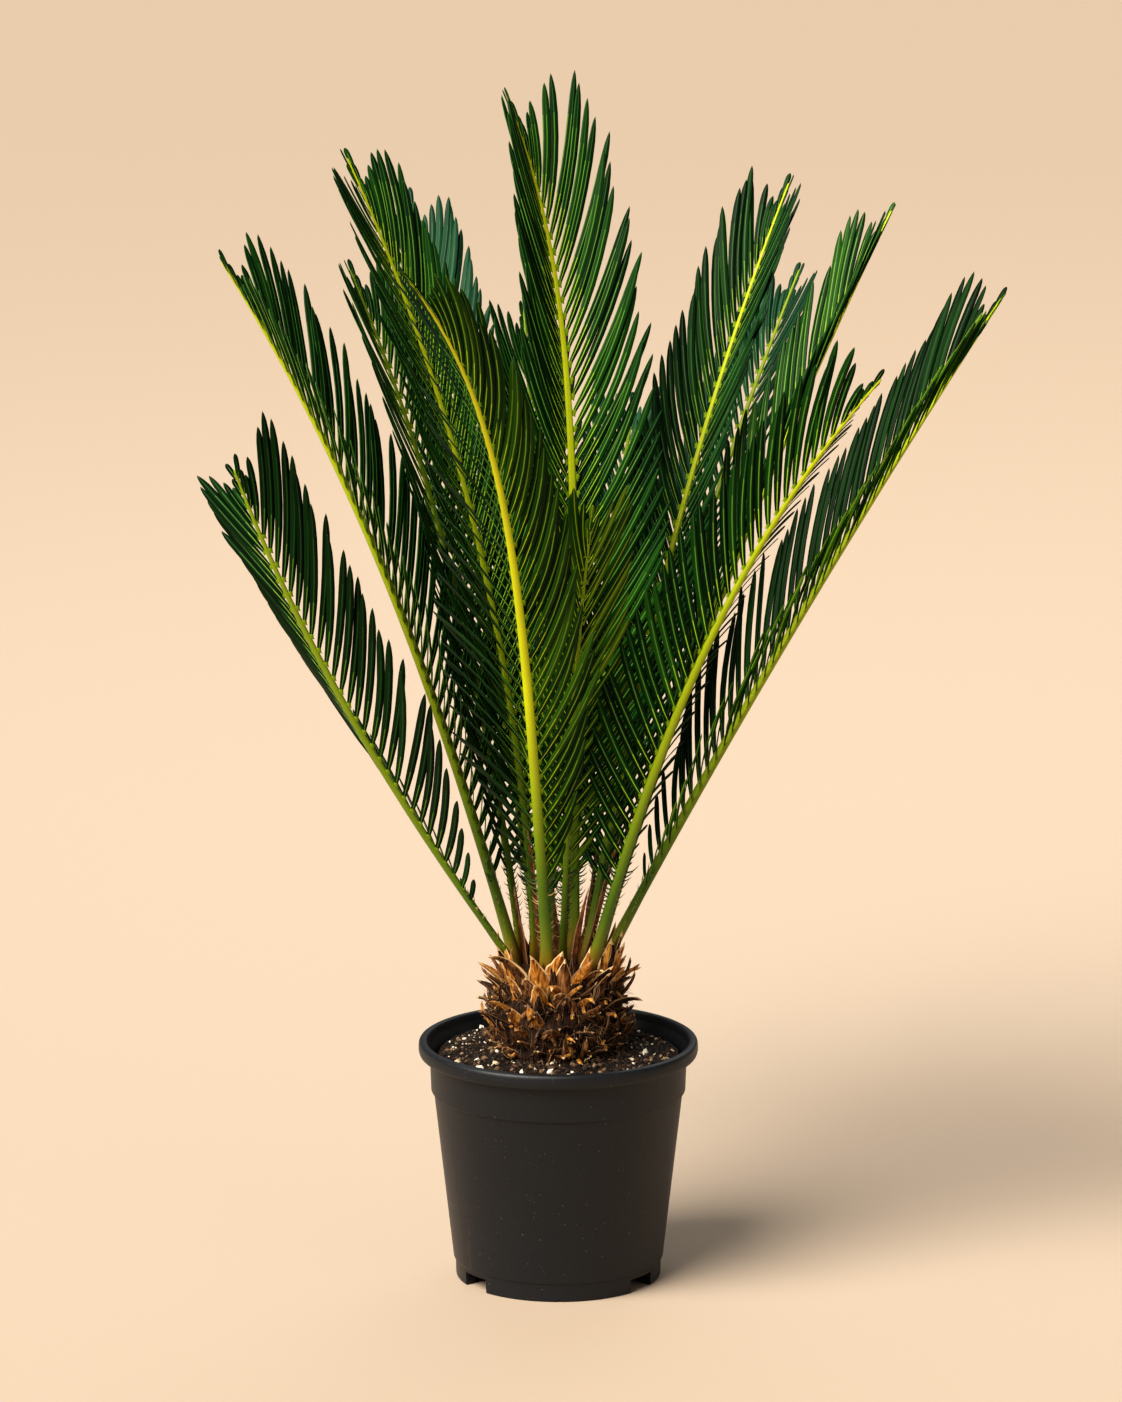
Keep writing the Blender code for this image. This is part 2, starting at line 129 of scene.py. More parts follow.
# The pot: thin black plastic, injection moulded in one piece. It has a fat rolled lip, a plain band under it,
# a tapering wall, and a foot ring with drain notches round a raised channel.
POT_HEIGHT = 0.0908
POT_WALL = 0.0014
LIP_RADIUS = 0.0522
LIP_HEIGHT = 0.0060
BAND_TOP_RADIUS = 0.0480
BAND_FOOT_RADIUS = 0.0475
BAND_FOOT = 0.0716
BODY_TOP_RADIUS = 0.0465
BODY_FOOT_RADIUS = 0.0392
FOOT_RADIUS = 0.0385
FOOT_HEIGHT = 0.0068
FLOOR_DISC_RADIUS = 0.0288
CHANNEL_HEIGHT = 0.0030
CHANNEL_OUTER_RADIUS = 0.0346
POT_TURN_STEPS = 160
POT_SHARP_EDGE = 32
CORNER_STEPS = 4
NOTCH_AZIMUTHS = (216.0, 324.0, 36.0, 144.0)
NOTCH_SIZE = (0.012, 0.0128, 0.0106)
NOTCH_ROUNDING = 0.0005
NICK_AZIMUTH = 270.0
NICK_SIZE = (0.004, 0.0018, 0.0016)
MOULD_BLACK = (0.0048, 0.0062, 0.0086)
DUST_GREY = (0.10, 0.095, 0.088)


class Wire:
    """A shader socket that can stand in sums, so that a finish is written as plain arithmetic."""

    def __init__(self, tree, socket):
        self.tree = tree
        self.socket = socket

    def sum_with(self, operation, first, second):
        """One Math node on two numbers or sockets."""
        made = self.tree.nodes.new("ShaderNodeMath")
        made.operation = operation
        for port, value in zip(made.inputs, (first, second)):
            if isinstance(value, Wire):
                self.tree.links.new(value.socket, port)
            else:
                port.default_value = value
        return Wire(self.tree, made.outputs[0])

    def __add__(self, other):
        return self.sum_with("ADD", self, other)

    def __radd__(self, other):
        return self.sum_with("ADD", other, self)

    def __rsub__(self, other):
        return self.sum_with("SUBTRACT", other, self)

    def __mul__(self, other):
        return self.sum_with("MULTIPLY", self, other)

    def __rmul__(self, other):
        return self.sum_with("MULTIPLY", other, self)

    def __gt__(self, other):
        return self.sum_with("GREATER_THAN", self, other)


class Finish:
    """A patterned finish on one Principled shader."""

    def __init__(self, name, roughness, sheen=0.5):
        self.material = plain_finish(name, (0.5, 0.5, 0.5), roughness, sheen)
        self.tree = self.material.node_tree
        self.shader = self.tree.nodes["Principled BSDF"]

    def node(self, kind, settings=None, sockets=None, output=0):
        """A node of this kind: its settings first, then the values or links of its sockets."""
        made = self.tree.nodes.new("ShaderNode" + kind)
        for key, value in (settings or {}).items():
            if key == "stops":
                self.set_stops(made.color_ramp, value)
            else:
                setattr(made, key, value)
        for key, value in (sockets or {}).items():
            if isinstance(value, Wire):
                self.tree.links.new(value.socket, made.inputs[key])
            else:
                made.inputs[key].default_value = value
        return Wire(self.tree, made.outputs[output])

    def set_stops(self, ramp, stops):
        """Gives a colour ramp its stops, each a place from 0 to 1 and a colour."""
        while len(ramp.elements) < len(stops):
            ramp.elements.new(1.0)
        for stop, (share, colour) in zip(ramp.elements, stops):
            stop.position = share
            stop.color = (*colour, 1.0)

    def noise(self, scale, detail, stretch=(1, 1, 1)):
        """Noise that is fixed to the object, drawn out or squeezed along its axes."""
        where = self.node("TexCoord", output=3)
        spread = self.node("Mapping", None, {"Vector": where, "Scale": stretch})
        return self.node("TexNoise", None, {"Vector": spread, "Scale": scale, "Detail": detail})

    def blend(self, mask, low, high):
        """One colour where the mask is 0, and another where it is 1."""
        return self.node("Mix", {"data_type": "RGBA"}, {"Factor": mask, 6: low, 7: high}, output=2)

    def ramp(self, value, stops):
        """The colour that the stops give for this value."""
        return self.node("ValToRGB", {"stops": stops}, {"Fac": value})

    def use(self, **sockets):
        """Links what varies over the surface: its base_color, roughness or normal."""
        names = {"base_color": "Base Color", "roughness": "Roughness", "normal": "Normal"}
        for key, value in sockets.items():
            self.tree.links.new(value.socket, self.shader.inputs[names[key]])

    def bump(self, height, strength, distance):
        """Raises the surface in shading, by up to this distance in metres."""
        raised = self.node("Bump", None, {"Height": height, "Strength": strength, "Distance": distance})
        self.use(normal=raised)


def eased(outline):
    """The outline with its corners rounded off. Each is (radius, height, how far the rounding reaches)."""
    points = [Vector(corner[:2]) for corner in outline]
    made = [points[0]]
    for before, here, after, corner in zip(points, points[1:], points[2:], outline[1:]):
        reach = corner[2]
        if not reach:
            made.append(here)
            continue
        start = here + (before - here).normalized() * reach
        end = here + (after - here).normalized() * reach
        for k in range(CORNER_STEPS + 1):
            share = k / CORNER_STEPS
            made.append(start.lerp(here, share).lerp(here.lerp(end, share), share))
    return [*made, points[-1]]


def turned(name, outline, steps):
    """A turned shape from its half outline, which starts and ends on the axis."""
    shape = bmesh.new()
    corners = [shape.verts.new((point[0], 0.0, point[1])) for point in outline]
    edges = [shape.edges.new(pair) for pair in zip(corners, corners[1:])]
    bmesh.ops.spin(
        shape, geom=corners + edges, cent=(0, 0, 0), axis=(0, 0, 1), angle=math.tau, steps=steps,
        use_merge=True,
    )
    bmesh.ops.remove_doubles(shape, verts=shape.verts, dist=1e-6)
    bmesh.ops.recalc_face_normals(shape, faces=shape.faces)
    mesh = bpy.data.meshes.new(name)
    shape.to_mesh(mesh)
    shape.free()
    return linked(name, mesh)


def notch_cutter(azimuth, radius, size):
    """A box with rounded edges, set across the foot ring."""
    shape = bmesh.new()
    bmesh.ops.create_cube(shape, size=1.0)
    bmesh.ops.scale(shape, verts=shape.verts, vec=size)
    bmesh.ops.bevel(
        shape, geom=shape.edges, offset=NOTCH_ROUNDING, segments=2, affect="EDGES", profile=0.5,
        clamp_overlap=True,
    )
    mesh = bpy.data.meshes.new("notch_cutter")
    shape.to_mesh(mesh)
    shape.free()
    cutter = linked("notch_cutter", mesh)
    turn = math.radians(azimuth)
    cutter.rotation_euler.z = turn
    cutter.location = Vector((math.cos(turn), math.sin(turn), 0.0)) * radius
    return cutter


def cut_out(made, cutters):
    """Cuts every cutter out of a piece, applies the cut and removes the cutters."""
    group = bpy.data.collections.new(made.name + "_cutters")
    for cutter in cutters:
        group.objects.link(cutter)
    cut = made.modifiers.new("cut", "BOOLEAN")
    cut.operation = "DIFFERENCE"
    cut.operand_type = "COLLECTION"
    cut.collection = group
    cut.solver = "EXACT"
    graph = bpy.context.evaluated_depsgraph_get()
    whole = bpy.data.meshes.new_from_object(made.evaluated_get(graph))
    made.modifiers.clear()
    made.data = whole
    for cutter in cutters:
        bpy.data.objects.remove(cutter)
    bpy.data.collections.remove(group)


def make_mould_plastic():
    """Satin black plastic: fine grain, faint scuffs, and pale specks of dust and soil."""
    finish = Finish("mould_plastic", 0.42, 0.40)
    cloud = finish.noise(18.0, 4.0)
    grain = finish.noise(2400.0, 2.0)
    speck = finish.noise(950.0, 3.0)
    scuff = finish.noise(260.0, 6.0, (1.0, 1.0, 0.12))
    tone = finish.ramp(cloud, ((0.35, MOULD_BLACK), (0.75, tuple(1.45 * part for part in MOULD_BLACK))))
    dusty = finish.blend((speck > 0.715) * 0.7, tone, (*DUST_GREY, 1.0))
    scuffed = finish.blend((scuff > 0.70) * 0.10, dusty, (*DUST_GREY, 1.0))
    finish.use(base_color=scuffed, roughness=0.34 + 0.16 * cloud + 0.06 * grain)
    finish.bump(grain, 0.25, 0.0002)
    return finish.material


pot_outline = eased([
    (0.0, 0.0, 0),
    (FLOOR_DISC_RADIUS, 0.0, 0.0004),
    (FLOOR_DISC_RADIUS + 0.0008, CHANNEL_HEIGHT, 0.0004),
    (CHANNEL_OUTER_RADIUS - 0.0008, CHANNEL_HEIGHT, 0.0004),
    (CHANNEL_OUTER_RADIUS, 0.0, 0.0003),
    (FOOT_RADIUS - 0.0001, 0.0, 0.0007),
    (FOOT_RADIUS + 0.0001, FOOT_HEIGHT, 0.0004),
    (BODY_FOOT_RADIUS + 0.0001, FOOT_HEIGHT + 0.0005, 0.0003),
    (BODY_TOP_RADIUS, BAND_FOOT - 0.0006, 0.0003),
    (BAND_FOOT_RADIUS, BAND_FOOT, 0.0004),
    (BAND_TOP_RADIUS, POT_HEIGHT - LIP_HEIGHT, 0.0008),
    (LIP_RADIUS - 0.0006, POT_HEIGHT - LIP_HEIGHT + 0.0003, 0.0009),
    (LIP_RADIUS, POT_HEIGHT - LIP_HEIGHT + 0.0022, 0.0007),
    (LIP_RADIUS - 0.0001, POT_HEIGHT, 0.0018),
    (LIP_RADIUS - 0.0031, POT_HEIGHT, 0.0010),
    (LIP_RADIUS - 0.0037, POT_HEIGHT - 0.0030, 0.0006),
    (BAND_TOP_RADIUS - POT_WALL, POT_HEIGHT - LIP_HEIGHT - 0.0012, 0.0010),
    (BAND_FOOT_RADIUS - POT_WALL, BAND_FOOT, 0.0003),
    (BODY_TOP_RADIUS - POT_WALL, BAND_FOOT - 0.0008, 0.0003),
    (BODY_FOOT_RADIUS - POT_WALL, FOOT_HEIGHT + 0.0010, 0.0004),
    (BODY_FOOT_RADIUS - 2 * POT_WALL, CHANNEL_HEIGHT + POT_WALL, 0.0004),
    (FLOOR_DISC_RADIUS, CHANNEL_HEIGHT + POT_WALL, 0.0004),
    (FLOOR_DISC_RADIUS - 0.0008, POT_WALL, 0.0004),
    (0.0, POT_WALL, 0),
])
nursery_pot = turned("nursery_pot", pot_outline, POT_TURN_STEPS)
pot_cutters = [
    notch_cutter(azimuth, CHANNEL_OUTER_RADIUS - POT_WALL + NOTCH_SIZE[0] / 2, NOTCH_SIZE)
    for azimuth in NOTCH_AZIMUTHS
]
pot_cutters.append(notch_cutter(NICK_AZIMUTH, FOOT_RADIUS, NICK_SIZE))
cut_out(nursery_pot, pot_cutters)
nursery_pot.data.shade_smooth()
nursery_pot.data.set_sharp_from_angle(angle=math.radians(POT_SHARP_EDGE))
nursery_pot.data.materials.append(make_mould_plastic())
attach(nursery_pot, "root")
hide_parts("pot")


# The soil: dark moist potting mix, level but rough, with crumbs, bark chips and white perlite granules lying
# on it. It fills the pot to just under the lip, and is heaped a little against the caudex.
SOIL_LEVEL = 0.0872
SOIL_EDGE_LEVEL = 0.0852
SOIL_EDGE_RADIUS = 0.0449
SOIL_MOUND_RADIUS = 0.0270
SOIL_RINGS = 90
SOIL_TURN_STEPS = 260
SOIL_ROUGHNESS = 0.0016
SOIL_GAP = 0.0004
SOIL_TONES = ((0.0045, 0.0025, 0.0015), (0.0130, 0.0068, 0.0036), (0.052, 0.028, 0.0130))
CRUMB_COUNT = 5200
CRUMB_SIZE = 0.00085
CHIP_COUNT = 300
CHIP_SIZE = 0.0026
CHIP_TONES = {
    "chip_dark": (0.030, 0.016, 0.009),
    "chip_brown": (0.085, 0.042, 0.020),
    "chip_tan": (0.170, 0.100, 0.052),
}
PERLITE_COUNT = 210
PERLITE_SIZE = 0.0016
PERLITE_TONES = {
    "perlite_white": (0.80, 0.73, 0.62),
    "perlite_cream": (0.60, 0.48, 0.33),
    "perlite_stained": (0.22, 0.15, 0.085),
}
draw = np.random.default_rng(45)


def soil_height(x, y):
    """The height of the soil's rough surface at this place."""
    radius = math.hypot(x, y)
    slope = min(1.0, max(0.0, (radius - SOIL_MOUND_RADIUS) / (SOIL_EDGE_RADIUS - SOIL_MOUND_RADIUS)))
    level = SOIL_LEVEL + (SOIL_EDGE_LEVEL - SOIL_LEVEL) * slope
    broad = noise.fractal(Vector((x * 120, y * 120, 1.7)), 1.0, 2.0, 3)
    fine = noise.fractal(Vector((x * 520, y * 520, 8.1)), 1.0, 2.0, 4)
    return level + SOIL_ROUGHNESS * (0.45 * broad + 0.40 * fine)


def ring_faces(rings, steps):
    """The faces between neighbouring rings, each of this many corners."""
    faces = []
    for base in range(0, (rings - 1) * steps, steps):
        for k in range(steps):
            after = (k + 1) % steps
            faces.append((base + k, base + after, base + steps + after, base + steps + k))
    return faces


def make_soil_body():
    """The soil as one closed body: a rough top, and plain sides and base that follow the pot's inside."""
    low = CHANNEL_HEIGHT + POT_WALL + SOIL_GAP
    sides = [
        (SOIL_EDGE_RADIUS, BAND_FOOT),
        (BODY_FOOT_RADIUS - POT_WALL - SOIL_GAP, FOOT_HEIGHT + 0.0018),
        (BODY_FOOT_RADIUS - 2 * POT_WALL - 0.0006, low),
    ]
    top_rings = [(SOIL_EDGE_RADIUS * ring / SOIL_RINGS, None) for ring in range(1, SOIL_RINGS + 1)]
    corners = []
    for radius, height in [*top_rings, *sides]:
        for k in range(SOIL_TURN_STEPS):
            turn = math.tau * k / SOIL_TURN_STEPS
            x, y = radius * math.cos(turn), radius * math.sin(turn)
            corners.append((x, y, soil_height(x, y) if height is None else height))
    rows = SOIL_RINGS + len(sides)
    faces = [(a, d, c, b) for a, b, c, d in ring_faces(rows, SOIL_TURN_STEPS)]
    top, bottom = len(corners), len(corners) + 1
    corners += [(0.0, 0.0, SOIL_LEVEL), (0.0, 0.0, low)]
    last = (rows - 1) * SOIL_TURN_STEPS
    for k in range(SOIL_TURN_STEPS):
        after = (k + 1) % SOIL_TURN_STEPS
        faces.append((top, k, after))
        faces.append((bottom, last + after, last + k))
    mesh = bpy.data.meshes.new("soil_body")
    mesh.from_pydata(corners, [], faces)
    mesh.shade_smooth()
    return linked("soil_body", mesh)


def make_soil_finish():
    """Potting mix: near-black to brown clods with a rough grain, a little glossier where it is damp."""
    finish = Finish("potting_mix", 0.9, 0.2)
    clod = finish.noise(420.0, 8.0)
    damp = finish.noise(60.0, 3.0)
    tone = finish.ramp(clod, list(zip((0.38, 0.55, 0.72), SOIL_TONES)))
    finish.use(base_color=tone, roughness=1.0 - 0.35 * damp)
    finish.bump(clod, 0.9, 0.0008)
    return finish.material


def turns_of(count):
    """Random turns, one for each of so many small bits."""
    quaternion = draw.normal(size=(count, 4))
    w, x, y, z = (quaternion / np.linalg.norm(quaternion, axis=1, keepdims=True)).T
    return np.stack([
        np.stack([1 - 2 * (y * y + z * z), 2 * (x * y - z * w), 2 * (x * z + y * w)], -1),
        np.stack([2 * (x * y + z * w), 1 - 2 * (x * x + z * z), 2 * (y * z - x * w)], -1),
        np.stack([2 * (x * z - y * w), 2 * (y * z + x * w), 1 - 2 * (x * x + y * y)], -1),
    ], 1)


def round_bit():
    """Corners and faces of a round bit, 20-sided."""
    shape = bmesh.new()
    bmesh.ops.create_icosphere(shape, subdivisions=1, radius=1.0)
    corners = np.array([vert.co[:] for vert in shape.verts])
    faces = np.array([[vert.index for vert in face.verts] for face in shape.faces])
    shape.free()
    return corners, faces


def scattered(count, least, most):
    """Places on the soil between two radii, each at the soil's height."""
    radius = np.sqrt(draw.uniform(least ** 2, most ** 2, count))
    turn = draw.uniform(0, math.tau, count)
    flat = np.stack([radius * np.cos(turn), radius * np.sin(turn)], -1)
    heights = np.array([soil_height(x, y) for x, y in flat])
    return np.column_stack([flat, heights])


def joined_bits(name, places, sizes, squash, jitter, finishes):
    """Many small bits as one mesh, each stretched, dented and turned its own way, in one of the finishes."""
    corners, faces = round_bit()
    count = len(places)
    shapes = corners[None] * (1 + draw.uniform(-jitter, jitter, (count, len(corners), 1)))
    shapes = shapes * (sizes[:, None, None] / 2) * draw.uniform(squash, 1.0, (count, 1, 3))
    shapes = np.einsum("nij,nkj->nki", turns_of(count), shapes) + places[:, None, :]
    every = (faces[None] + (np.arange(count) * len(corners))[:, None, None]).reshape(-1, 3)
    mesh = bpy.data.meshes.new(name)
    mesh.from_pydata(shapes.reshape(-1, 3).tolist(), [], every.tolist())
    for finish in finishes:
        mesh.materials.append(finish)
    tones = np.repeat(draw.integers(0, len(finishes), count), len(faces))
    mesh.polygons.foreach_set("material_index", tones.astype(np.int32))
    return linked(name, mesh)


soil_body = make_soil_body()
soil_body.data.materials.append(make_soil_finish())
crumb_places = scattered(CRUMB_COUNT, 0.018, SOIL_EDGE_RADIUS - 0.0006)
crumb_sizes = draw.lognormal(math.log(CRUMB_SIZE), 0.38, CRUMB_COUNT)
soil_crumbs = joined_bits(
    "soil_crumbs", crumb_places, crumb_sizes, 0.45, 0.3,
    [plain_finish(f"crumb_{k}", tone, 0.92) for k, tone in enumerate(SOIL_TONES)],
)
chip_sizes = draw.lognormal(math.log(CHIP_SIZE), 0.35, CHIP_COUNT)
chip_places = scattered(CHIP_COUNT, 0.022, SOIL_EDGE_RADIUS - 0.0014)
soil_chips = joined_bits(
    "bark_chips", chip_places, chip_sizes, 0.18, 0.25,
    [plain_finish(name, tone, 0.9) for name, tone in CHIP_TONES.items()],
)
perlite_places = scattered(PERLITE_COUNT, 0.021, SOIL_EDGE_RADIUS - 0.0010) + np.array([0, 0, 0.0002])
perlite_sizes = np.clip(draw.lognormal(math.log(PERLITE_SIZE), 0.50, PERLITE_COUNT), 0.0005, 0.0036)
soil_perlite = joined_bits(
    "perlite", perlite_places, perlite_sizes, 0.36, 0.42,
    [plain_finish(name, tone, 0.9, 0.2) for name, tone in PERLITE_TONES.items()],
)
for soil_piece in (soil_body, soil_crumbs, soil_chips, soil_perlite):
    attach(soil_piece, "root")
    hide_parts("soil")


# The caudex: the sago's stout young trunk. A dark fibrous core is clad in the dry, pointed bases of old
# leaves, large and orange round the crown, and torn to straps, scraps and brown threads near the soil.
CAUDEX_FOOT = 0.0875
CAUDEX_HEIGHT = 0.0322
CAUDEX_FOOT_RADIUS = 0.0245
CAUDEX_CROWN_RADIUS = 0.0200
CAUDEX_BULGE = 0.0012
CROWN_LEVEL = 0.1200
CORE_STEPS = 140
CORE_ROWS = 60
CORE_ROOTED = 0.004
CORE_SUNK = 0.0022
BASE_RINGS = 8
BASES_A_RING = 13
BASE_ROWS = 8
BASE_COLUMNS = (-1.0, -0.84, -0.45, 0.0, 0.45, 0.84, 1.0)
BASE_UNDER_COLUMNS = (0.6, -0.6)
BASE_THICKNESS = 0.0009
BRACT_COUNT = 13
STRAP_COUNT = 110
SCRAP_COUNT = 260
THREAD_COUNT = 1300
THREAD_THICKNESS = 0.00026
STRAND_ROWS = 4
SHEATH_ROOTED = 0.004
# Azimuth, distance from the middle and length of each brown sheath that stands between the stalks
DEAD_SHEATHS = (
    (95, 0.0060, 0.070), (150, 0.0085, 0.050), (215, 0.0080, 0.062), (250, 0.0115, 0.036),
    (300, 0.0105, 0.042), (335, 0.0110, 0.058), (20, 0.0085, 0.066), (62, 0.0100, 0.052),
    (180, 0.0120, 0.034), (120, 0.0120, 0.038),
)


def caudex_radius(share):
    """The radius at this share of the height: widest near the soil, and a little bulged."""
    bulge = CAUDEX_BULGE * math.sin(math.pi * share)
    return CAUDEX_FOOT_RADIUS + (CAUDEX_CROWN_RADIUS - CAUDEX_FOOT_RADIUS) * share * share + bulge


def make_caudex_core():
    """The core with its relief: low bosses where bases have rotted away, and fibres between them."""
    corners = []
    for row in range(CORE_ROWS + 1):
        share = row / CORE_ROWS
        for k in range(CORE_STEPS):
            turn = math.tau * k / CORE_STEPS
            out = Vector((math.cos(turn), math.sin(turn), 0.0))
            height = CAUDEX_FOOT - CORE_ROOTED + share * (CAUDEX_HEIGHT + CORE_ROOTED)
            at = out * CAUDEX_CROWN_RADIUS + Vector((0, 0, height))
            bosses = noise.fractal(at * 160, 1.0, 2.0, 4) * 0.0011
            fibres = noise.fractal(at * 700, 1.0, 2.0, 2) * 0.0004
            radius = caudex_radius(share) - CORE_SUNK + (bosses + fibres)
            corners.append((out.x * radius, out.y * radius, height))
    faces = ring_faces(CORE_ROWS + 1, CORE_STEPS)
    faces.append(tuple(range(CORE_STEPS - 1, -1, -1)))
    last = CORE_ROWS * CORE_STEPS
    faces.append(tuple(range(last, last + CORE_STEPS)))
    mesh = bpy.data.meshes.new("caudex_core")
    mesh.from_pydata(corners, [], faces)
    mesh.shade_smooth()
    return linked("caudex_core", mesh)


def bark_finish(name, low, middle, high):
    """Dry plant matter: streaks that run along it, with darker pits between."""
    finish = Finish(name, 0.8, 0.2)
    streak = finish.noise(1300.0, 5.0, (1.0, 1.0, 0.16))
    patch = finish.noise(150.0, 4.0)
    tone = finish.ramp(0.60 * streak + 0.40 * patch, ((0.38, low), (0.50, middle), (0.62, high)))
    finish.use(base_color=tone, roughness=0.62 + 0.30 * patch)
    finish.bump(streak, 0.8, 0.0005)
    return finish.material


class Skins:
    """Corners, faces and tones of many small shapes that become one mesh. Rooted ones may be open below."""

    def __init__(self):
        self.corners = []
        self.faces = []
        self.tones = []

    def add_tube(self, rings, tip, tone_at, cap=True):
        """A tube through rings of equal count, drawn to a tip. tone_at: a face's finish by row and strip."""
        base = len(self.corners)
        count = len(rings[0])
        for ring in rings:
            self.corners.extend(tuple(corner) for corner in ring)
        for number, face in enumerate(ring_faces(len(rings), count)):
            self.faces.append(tuple(base + corner for corner in face))
            self.tones.append(tone_at(*divmod(number, count)))
        last = base + (len(rings) - 1) * count
        self.corners.append(tuple(tip))
        for k in range(count):
            self.faces.append((last + k, last + (k + 1) % count, len(self.corners) - 1))
            self.tones.append(tone_at(len(rings) - 1, k))
        if cap:
            self.faces.append(tuple(base + k for k in range(count - 1, -1, -1)))
            self.tones.append(tone_at(0, 0))

    def piece(self, name, finishes, sharp_angle=180):
        """All the shapes as one mesh, smooth but for edges over the sharp angle."""
        mesh = bpy.data.meshes.new(name)
        mesh.from_pydata(self.corners, [], self.faces)
        for finish in finishes:
            mesh.materials.append(finish)
        mesh.polygons.foreach_set("material_index", np.array(self.tones, np.int32))
        mesh.shade_smooth()
        if sharp_angle < 180:
            mesh.set_sharp_from_angle(angle=math.radians(sharp_angle))
        return linked(name, mesh)


def unit(vector):
    return vector / np.linalg.norm(vector)


def compass(azimuth):
    """The level unit vector that points this way."""
    turn = math.radians(azimuth)
    return np.array([math.cos(turn), math.sin(turn), 0.0])


def mixed(low, high, share):
    """The number this share of the way from low to high."""
    return low + (high - low) * share


def add_leaf_base(skins, root, along, out, length, width, curl, body, edge, taper=1.7, cup=0.45):
    """An old leaf base: a pointed plate cupped round the trunk, with pale edges and a tip that curls."""
    aside = unit(np.cross(along, out))
    rings = []
    place = np.array(root, float)
    heading = np.array(along, float)
    for row in range(BASE_ROWS):
        share = row / BASE_ROWS
        half = width / 2 * (1 - share ** taper) * (0.78 + 0.9 * share * (1 - share))
        half *= 1 + draw.uniform(-0.12, 0.12)
        face = unit(np.cross(aside, heading))
        ring = []
        for column in BASE_COLUMNS:
            depth = -cup * half * column * column + BASE_THICKNESS * (1 - abs(column)) * 0.6
            ring.append(place + aside * (half * column) + face * depth)
        for column in BASE_UNDER_COLUMNS:
            depth = -cup * half * column * column - BASE_THICKNESS * (1.0 - share * 0.6)
            ring.append(place + aside * (half * column) + face * depth)
        rings.append(ring)
        heading = unit(heading + face * (curl * (0.25 + share) / BASE_ROWS) + draw.normal(0, 0.03, 3))
        place = place + heading * (length / BASE_ROWS)
    edges = (0, len(BASE_COLUMNS) - 2)
    skins.add_tube(rings, place, lambda row, strip: edge if strip in edges or row == BASE_ROWS - 1 else body)


def add_thread(skins, root, heading, length, thickness, bend, tone):
    """A dry thread: a three-sided strand that wanders and ends in a point."""
    rings = []
    place = np.array(root, float)
    heading = np.array(heading, float)
    for row in range(STRAND_ROWS):
        across = unit(np.cross(heading, (0.3, 0.2, 1.0)))
        other = np.cross(heading, across)
        reach = thickness / 2 * (1 - 0.22 * row)
        rings.append([
            place + (across * math.cos(turn) + other * math.sin(turn)) * reach
            for turn in (0.0, math.tau / 3, 2 * math.tau / 3)
        ])
        place = place + heading * (length / STRAND_ROWS)
        heading = unit(heading + draw.normal(0, bend, 3))
    skins.add_tube(rings, place, lambda row, strip: tone, cap=False)


def on_caudex(share, azimuth, sunk):
    """A place on the caudex at this share of its height, sunk below its skin."""
    out = compass(azimuth)
    root = out * (caudex_radius(max(share, 0.0)) - sunk)
    root[2] = CAUDEX_FOOT + share * CAUDEX_HEIGHT
    return root, out


def leaned(out, lean):
    """The way a base grows that leans out this many degrees from upright, and the way that its back faces."""
    tilt = math.radians(lean)
    rise = np.array([0.0, 0.0, 1.0])
    return out * math.sin(tilt) + rise * math.cos(tilt), out * math.cos(tilt) - rise * math.sin(tilt)


def pick(weights):
    """A random choice, by number, with these odds."""
    return int(draw.choice(len(weights), p=weights))


DARK, BROWN, ORANGE, EDGE, DULL_EDGE, SHEATH = range(6)
caudex_finishes = [
    bark_finish("old_base_dark", (0.006, 0.0035, 0.0022), (0.03, 0.014, 0.007), (0.095, 0.046, 0.02)),
    bark_finish("old_base_brown", (0.022, 0.009, 0.0036), (0.16, 0.066, 0.02), (0.4, 0.2, 0.07)),
    bark_finish("old_base_orange", (0.09, 0.03, 0.005), (0.44, 0.175, 0.026), (0.76, 0.4, 0.085)),
    plain_finish("old_base_edge", (0.7, 0.47, 0.24), 0.75),
    plain_finish("old_base_edge_dull", (0.28, 0.155, 0.075), 0.8),
    bark_finish("dead_sheath", (0.03, 0.009, 0.0035), (0.105, 0.032, 0.01), (0.22, 0.085, 0.026)),
]
caudex_core = make_caudex_core()
caudex_core.data.materials.append(caudex_finishes[DARK])
old_bases = Skins()
for ring in range(BASE_RINGS):
    share = (ring + 0.35) / BASE_RINGS
    for k in range(BASES_A_RING):
        if draw.random() < 0.30 * (1 - share):
            continue
        azimuth = 360 / BASES_A_RING * (k + 0.5 * (ring % 2)) + 7 * ring + draw.normal(0, 6)
        root, out = on_caudex(share * 0.88, azimuth, 0.0035)
        along, back = leaned(out, 52 - 40 * share + draw.normal(0, 11))
        turned_aside = np.cross(along, back) * draw.normal(0, 0.22)
        body = pick((0.62 - 0.50 * share, 0.33 + 0.05 * share, 0.05 + 0.45 * share))
        edge = EDGE if draw.random() < 0.25 + 0.6 * share else DULL_EDGE
        length = mixed(0.0065, 0.0185, share) * draw.uniform(0.7, 1.25)
        width = mixed(0.0052, 0.0100, share) * draw.uniform(0.7, 1.2)
        heading = unit(along + turned_aside)
        add_leaf_base(old_bases, root, heading, back, length, width, draw.normal(0.35, 0.7), body, edge)
